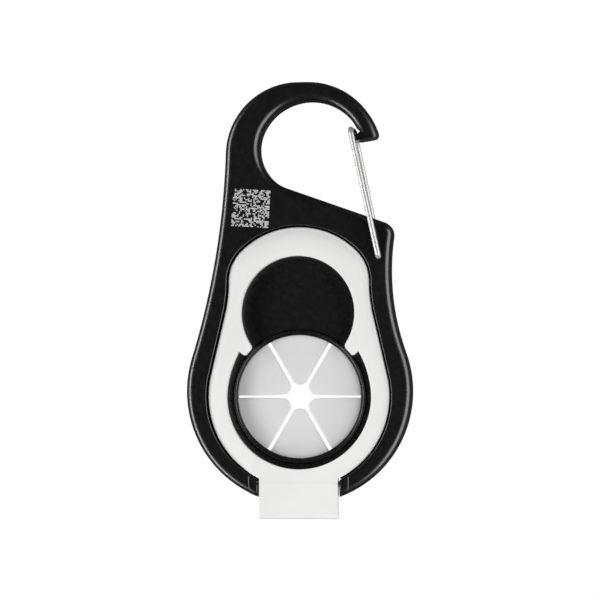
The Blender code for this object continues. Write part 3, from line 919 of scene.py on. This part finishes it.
def tab_mesh():
    """Tab with a rounded front edge at its free end."""
    rows = [(TAB_END_Y + TAB_LOW_ROUND, FRAME_LOW_Z), (TAB_ROOT_Y, FRAME_LOW_Z), (TAB_ROOT_Y, TAB_TOP_Z)]
    for point in arc(Vector((TAB_END_Y + TAB_ROUND, TAB_TOP_Z - TAB_ROUND)), TAB_ROUND, 90.0, 180.0, 11.25):
        rows.append((point.x, point.y))
    rows.append((TAB_END_Y, FRAME_LOW_Z + TAB_LOW_ROUND))
    mesh = bmesh.new()
    ends = []
    for side in (-1, 1):
        ends.append([mesh.verts.new(Vector((side * TAB_HALF, y, z)) * MM) for y, z in rows])
    cap_ends(mesh, ends)
    bridge_loops(mesh, ends)
    return mesh


def shape_top(mesh):
    """Lower the frame's front face towards the hook, and raise its rim to the tab's height beside the tab."""
    for vert in mesh.verts:
        x, y, z = vert.co / MM
        if z < FRAME_LOW_Z + FRAME_FACE_ABOVE:
            continue
        z -= CREST_DROP * max(0.0, (y - CREST_FROM) / (FRAME_TOP_CENTRE.y + FRAME_TOP_R - CREST_FROM)) ** 2
        if y < FRAME_LOBE_CENTRE.y:
            z += (TAB_TOP_Z - z) * (1.0 - smooth_step(abs(x), TAB_HALF + TAB_SHELF, TAB_HALF + TAB_FADE))
        vert.co.z = z * MM


def slot_corner(side):
    """The corner where the pocket meets the slot's side, between a point along each."""
    radius = FRAME_LOBE_R + POCKET_GAP
    corner = Vector((SLOT_HALF, FRAME_LOBE_CENTRE.y - math.sqrt(radius ** 2 - SLOT_HALF ** 2)))
    along = unit(bearing(FRAME_LOBE_CENTRE, corner) + 90.0)
    spots = [corner + along * CORNER_ARM, corner, corner - Vector((0.0, CORNER_ARM))]
    return [Vector((side * spot.x, spot.y)) for spot in spots]


def corner_fill(side, radius):
    """Area between a slot corner and the arc that rounds it."""
    beyond, corner, down = slot_corner(side)
    rounding = rounded_corner(beyond, corner, down, radius)
    inner = corner + Vector((-side, 1.0)) * CORNER_OVER
    fill = [*rounding, inner]
    return fill if side < 0 else fill[::-1]


def build_frame(material):
    blank = loft(frame_levels())
    shape_top(blank)
    plate = add_object("frame_moulding", blank, material)
    window = window_outline()
    opening = loft([(window, FRAME_LOW_Z - CUT_OVER), (window, FRAME_TOP_Z + CUT_OVER)])
    tools = [
        combine(plate, "UNION", tab_mesh()),
        combine(plate, "UNION", bar(BARREL_R, BARREL_HALF)),
        combine(plate, "DIFFERENCE", opening),
        combine(plate, "DIFFERENCE", bar(PIN_BORE_R, TAB_HALF + CUT_OVER)),
    ]
    bake_modifiers(plate, tools)

    def soft_edge(point):
        near_disc = (point.xy - DISC_CENTRE).length < WINDOW_SOFT_R
        collar = near_disc and point.y > WINDOW_SOFT_Y and abs(point.x) < WINDOW_SOFT_X
        tab_side = point.y < TAB_SOFT_Y and abs(point.x) > TAB_HALF - SOFT_NEAR
        top_window = (point.xy - WINDOW_CENTRE).length < WINDOW_R + WINDOW_SOFT_OVER
        return collar or tab_side or top_window

    soften(plate, FRAME_SOFT, soft_edge)
    finish_shading(plate)
    stand_for(plate, "flip_frame", "white_plastic", "flip_frame")


# Disc

def petal_reach(radius):
    """Half of the petal's angle at a distance from the disc's centre, in radians."""
    half = math.pi / PETAL_COUNT
    sine = math.sin(half)
    tip_r = (PETAL_TIP_R - SLIT_WIDTH / 2 / sine) * sine / (1.0 - sine)
    tip_x = PETAL_TIP_R + tip_r
    touch = math.hypot(tip_x - tip_r * sine, tip_r * math.cos(half))
    if radius > touch:
        return half - math.asin(SLIT_WIDTH / 2 / radius)
    cosine = (radius ** 2 + tip_x ** 2 - tip_r ** 2) / (2 * radius * tip_x)
    return math.acos(min(1.0, cosine))


def level_slit_shift(offset):
    """How far a petal's edge moves into the two level slits, which are narrower than the rest."""
    outward = smooth_step(abs(offset.x), LEVEL_SLIT_FROM, LEVEL_SLIT_TO)
    nearness = 1.0 - smooth_step(abs(offset.y), SLIT_WIDTH / 2, LEVEL_SLIT_REACH)
    return Vector((0.0, math.copysign(LEVEL_SLIT_SHIFT * outward * nearness, offset.y)))


def petal_stations():
    """Radii of the petal's loops: evenly spaced to the neck, then closer and closer to the tip."""
    radii = []
    for step in range(PETAL_LONG_LOOPS + 1):
        radii.append(PETAL_ROOT_R - (PETAL_ROOT_R - PETAL_NECK_R) * step / PETAL_LONG_LOOPS)
    return radii + list(PETAL_TIP_RADII)


def petal_mesh(turn):
    """One petal of the disc, with its edges rounded, from the root in to the tip."""
    middle = (DISC_LOW_Z + DISC_TOP_Z) / 2
    thick = (DISC_TOP_Z - DISC_LOW_Z) / 2
    mesh = bmesh.new()
    loops = []
    for radius in petal_stations():
        reach = petal_reach(radius)
        edge = min(DISC_ROUND, reach * radius * PETAL_EDGE_SHARE)
        near_tip = min(DISC_ROUND, radius - PETAL_TIP_R)
        half_thick = thick - DISC_ROUND + math.sqrt(DISC_ROUND ** 2 - (DISC_ROUND - near_tip) ** 2)
        side = []
        for corner in (0, 30, 60, 90):
            inset = edge * (1.0 - math.cos(math.radians(corner)))
            height = half_thick - DISC_ROUND + DISC_ROUND * math.sin(math.radians(corner))
            side.append((reach - inset / radius, max(height, 0.0)))
        flat_reach = side[-1][0]
        steps = range(1, 2 * PETAL_HALF_QUADS)
        top = [(flat_reach * (1.0 - step / PETAL_HALF_QUADS), half_thick) for step in steps]
        upper = side + top + [(-angle, height) for angle, height in reversed(side)]
        profile = upper + [(angle, -height) for angle, height in reversed(upper)]
        loop = []
        for angle, height in profile:
            offset = Vector((math.cos(turn + angle), math.sin(turn + angle))) * radius
            spot = DISC_CENTRE + offset - level_slit_shift(offset)
            loop.append(mesh.verts.new(Vector((spot.x, spot.y, middle + height)) * MM))
        loops.append(loop)
    bridge_loops(mesh, loops)
    cap_curved_end(mesh, loops[0])
    cap_curved_end(mesh, loops[-1])
    return mesh


def build_disc(material):
    """The disc's rim under the clamp ring, and its petals, which run from the rim inwards."""
    rim_inner = PETAL_ROOT_R + RIM_GAP
    profile = [
        (rim_inner, DISC_LOW_Z),
        (RIM_OUTER_R - DISC_ROUND, DISC_LOW_Z),
        (RIM_OUTER_R, DISC_LOW_Z + DISC_ROUND),
        (RIM_OUTER_R, DISC_TOP_Z - DISC_ROUND),
        (RIM_OUTER_R - DISC_ROUND, DISC_TOP_Z),
        (rim_inner, DISC_TOP_Z),
    ]
    rim = add_object("disc_rim", turned_ring(profile, DISC_CENTRE, RING_SIDES), material)
    finish_shading(rim)
    stand_for(rim, "root", "grey_rubber", "grip_disc_rim")
    for index in range(PETAL_COUNT):
        body = f"petal_{index + 1}"
        turn = 2 * math.pi * (index + 0.5) / PETAL_COUNT
        petal = add_object(f"disc_petal_{index + 1}", petal_mesh(turn), material)
        shade(petal)
        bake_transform(petal)
        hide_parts(body)


def build_ring(material):
    """Clamp ring with two rounded beads round its front face."""
    profile = [(RING_INNER_R, RING_LOW_Z), (RING_OUTER_R, RING_LOW_Z)]
    for centre_r, bead_r in RING_BEADS:
        for turn in range(0, 181, 15):
            radius = centre_r + bead_r * math.cos(math.radians(turn))
            sink = bead_r * BEAD_RISE * (1.0 - math.sin(math.radians(turn)))
            profile.append((radius, RING_TOP_Z - sink))
    ring = add_object("clamp_ring_moulding", turned_ring(profile, DISC_CENTRE, RING_SIDES), material)
    shade(ring)
    stand_for(ring, "root", "black_plastic", "clamp_ring")


# Gate and pin

def rounded_route(corners, radii, steps):
    """Polyline with each inner corner replaced by an arc of its own radius."""
    route = [corners[0]]
    for before, corner, after, radius in zip(corners, corners[1:], corners[2:], radii):
        route.extend(rounded_corner(before, corner, after, radius, steps))
    route.append(corners[-1])
    return route


def sweep_tube(route, radius, sides):
    """Tube round a route, with domed ends."""
    mesh = bmesh.new()
    ahead = (route[1] - route[0]).normalized()
    side = ahead.orthogonal().normalized()
    spots = []
    for turn in (80, 60, 40, 20):
        share = math.sin(math.radians(turn))
        spots.append((route[0] - ahead * radius * WIRE_DOME * share, math.cos(math.radians(turn))))
    spots += [(point, 1.0) for point in route]
    last = (route[-1] - route[-2]).normalized()
    for turn in (20, 40, 60, 80):
        share = math.sin(math.radians(turn))
        spots.append((route[-1] + last * radius * WIRE_DOME * share, math.cos(math.radians(turn))))
    loops = []
    for index, (spot, share) in enumerate(spots):
        before = spots[max(index - 1, 0)][0]
        after = spots[min(index + 1, len(spots) - 1)][0]
        ahead = (after - before).normalized()
        side = (side - ahead * side.dot(ahead)).normalized()
        across = ahead.cross(side)
        loop = []
        for corner in range(sides):
            angle = 2 * math.pi * corner / sides
            offset = side * math.cos(angle) + across * math.sin(angle)
            loop.append(mesh.verts.new((spot + offset * radius * share) * MM))
        loops.append(loop)
    bridge_loops(mesh, loops)
    cap_ends(mesh, loops)
    return mesh


def build_gate(material):
    front_z = BODY_THICK + WIRE_GAP + WIRE_R
    rear_z = WIRE_GAP + WIRE_R
    deep = GATE_HOLE_DEPTH - GATE_END_GAP
    corners = [
        Vector((*GATE_PIVOT, BODY_THICK - deep)),
        Vector((*GATE_PIVOT, front_z)),
        Vector((*GATE_TOP_FRONT, front_z)),
        Vector((*GATE_TOP_BACK, rear_z)),
        Vector((*GATE_PIVOT, rear_z)),
        Vector((*GATE_PIVOT, 2 * WIRE_GAP + 2 * WIRE_R + deep)),
    ]
    route = rounded_route(corners, [WIRE_FOOT_R, WIRE_BEND_R, WIRE_BEND_R, WIRE_FOOT_R], WIRE_BEND_STEPS)
    gate = add_object("gate_wire", sweep_tube(route, WIRE_R, WIRE_SIDES), material)
    gate.data.shade_smooth()
    stand_for(gate, "wire_gate", "steel_wire", "wire_gate")


def build_pin(material):
    pin = add_object("frame_pin", bar(PIN_R, PIN_HALF, PIN_ROUND), material)
    finish_shading(pin)
    stand_for(pin, "root", "steel_wire", "hinge_pin")


# Print

def build_patch(material):
    """Square patch of printed cells in a random order, which carries no code."""
    draw = random.Random(PATCH_SEED)
    cell = PATCH_SIDE / PATCH_CELLS
    turn = Matrix.Rotation(math.radians(PATCH_TURN), 4, "Z")
    mesh = bmesh.new()
    for row in range(PATCH_CELLS):
        start = None
        for column in range(PATCH_CELLS + 1):
            inked = column < PATCH_CELLS and draw.random() < PATCH_FILL
            if inked and start is None:
                start = column
            if not inked and start is not None:
                width = (column - start) * cell - PATCH_GAP
                across = ((start + column) / 2 - PATCH_CELLS / 2) * cell
                middle = Vector((across, (row + 0.5) * cell - PATCH_SIDE / 2, 0.0))
                spot = turn @ middle + Vector((*PATCH_CENTRE, BODY_THICK + PATCH_LIFT / 2))
                size = Matrix.Diagonal((width * MM, (cell - PATCH_GAP) * MM, PATCH_LIFT * MM, 1.0))
                bmesh.ops.create_cube(mesh, size=1.0, matrix=Matrix.Translation(spot * MM) @ turn @ size)
                start = None
    patch = add_object("printed_patch", mesh, material)
    stand_for(patch, "root", "white_plastic")


# Stage

def build_stage():
    """Pale floor and backdrop that stay plain behind the object."""
    floor_mesh = bmesh.new()
    bmesh.ops.create_grid(floor_mesh, x_segments=1, y_segments=1, size=FLOOR_HALF)
    floor_mesh.transform(Matrix.Translation((0.0, 0.0, -FLOOR_GAP)))
    material, shader = node_material("pale_floor", (FLOOR_TONE, FLOOR_TONE, FLOOR_TONE), 0.9)
    shader.inputs["Specular IOR Level"].default_value = 0.0
    nodes, links = material.node_tree.nodes, material.node_tree.links
    glow = nodes.new("ShaderNodeEmission")
    path = nodes.new("ShaderNodeLightPath")
    mix = nodes.new("ShaderNodeMixShader")
    links.new(path.outputs["Is Camera Ray"], mix.inputs["Fac"])
    links.new(shader.outputs["BSDF"], mix.inputs[1])
    links.new(glow.outputs["Emission"], mix.inputs[2])
    links.new(mix.outputs["Shader"], nodes["Material Output"].inputs["Surface"])
    add_object("floor", floor_mesh, material)

    world = bpy.data.worlds.new("studio")
    bpy.context.scene.world = world
    world.use_nodes = True
    nodes, links = world.node_tree.nodes, world.node_tree.links
    place = nodes.new("ShaderNodeTexCoord")
    split = nodes.new("ShaderNodeSeparateXYZ")
    ramp = nodes.new("ShaderNodeValToRGB")
    ramp.color_ramp.elements[0].position = 0.0
    ramp.color_ramp.elements[0].color = (*[SKY_LOW] * 3, 1.0)
    ramp.color_ramp.elements[1].position = SKY_TOP
    ramp.color_ramp.elements[1].color = (*[SKY_HIGH] * 3, 1.0)
    links.new(place.outputs["Generated"], split.inputs["Vector"])
    links.new(split.outputs["Z"], ramp.inputs["Fac"])
    links.new(ramp.outputs["Color"], nodes["Background"].inputs["Color"])
    backdrop = nodes.new("ShaderNodeBackground")
    path = nodes.new("ShaderNodeLightPath")
    mix = nodes.new("ShaderNodeMixShader")
    links.new(path.outputs["Is Camera Ray"], mix.inputs["Fac"])
    links.new(nodes["Background"].outputs["Background"], mix.inputs[1])
    links.new(backdrop.outputs["Background"], mix.inputs[2])
    backdrop.inputs["Color"].default_value = (1.0, 1.0, 1.0, 1.0)
    links.new(mix.outputs["Shader"], nodes["World Output"].inputs["Surface"])


def add_softbox(name, heading, lift, width, height, power):
    """Soft panel that faces the object. Heading 0 is +X and 90 is +Y; lift is above the floor."""
    light = bpy.data.lights.new(name, "AREA")
    light.shape = "RECTANGLE"
    light.size = width
    light.size_y = height
    light.energy = power
    panel = bpy.data.objects.new(name, light)
    bpy.context.scene.collection.objects.link(panel)
    spot = Vector((
        math.cos(math.radians(heading)) * math.cos(math.radians(lift)),
        math.sin(math.radians(heading)) * math.cos(math.radians(lift)),
        math.sin(math.radians(lift)),
    ))
    panel.location = spot * PANEL_DISTANCE
    panel.rotation_euler = spot.to_track_quat("Z", "Y").to_euler()
    panel.visible_camera = False


def build_camera():
    """Camera above the front face, a little to the right, as far off as a product shot is taken from."""
    data = bpy.data.cameras.new("camera")
    camera = bpy.data.objects.new("camera", data)
    bpy.context.scene.collection.objects.link(camera)
    aim = Vector((AIM_X, AIM_Y, BODY_THICK / 2))
    camera.location = Vector((CAMERA_X, CAMERA_Y, CAMERA_RISE)) * MM
    back = camera.location - aim * MM
    right = Vector((0.0, 1.0, 0.0)).cross(back).normalized()
    upward = back.cross(right).normalized()
    camera.rotation_euler = Matrix((right, upward, back.normalized())).transposed().to_euler()
    data.lens = data.sensor_width * back.length / (VIEW_WIDTH * MM)
    data.clip_start = 0.05
    data.clip_end = 20.0
    bpy.context.scene.camera = camera


def main():
    bpy.context.scene.view_settings.view_transform = "Standard"
    black = black_plastic()
    white = white_plastic()
    rubber = grey_rubber()
    metal = steel()
    build_body(black)
    build_lug_ribs(black)
    build_frame(white)
    build_disc(rubber)
    build_ring(black)
    build_gate(metal)
    build_pin(metal)
    build_patch(print_ink())
    build_stage()
    for panel in PANELS:
        add_softbox(*panel)
    build_camera()


main()
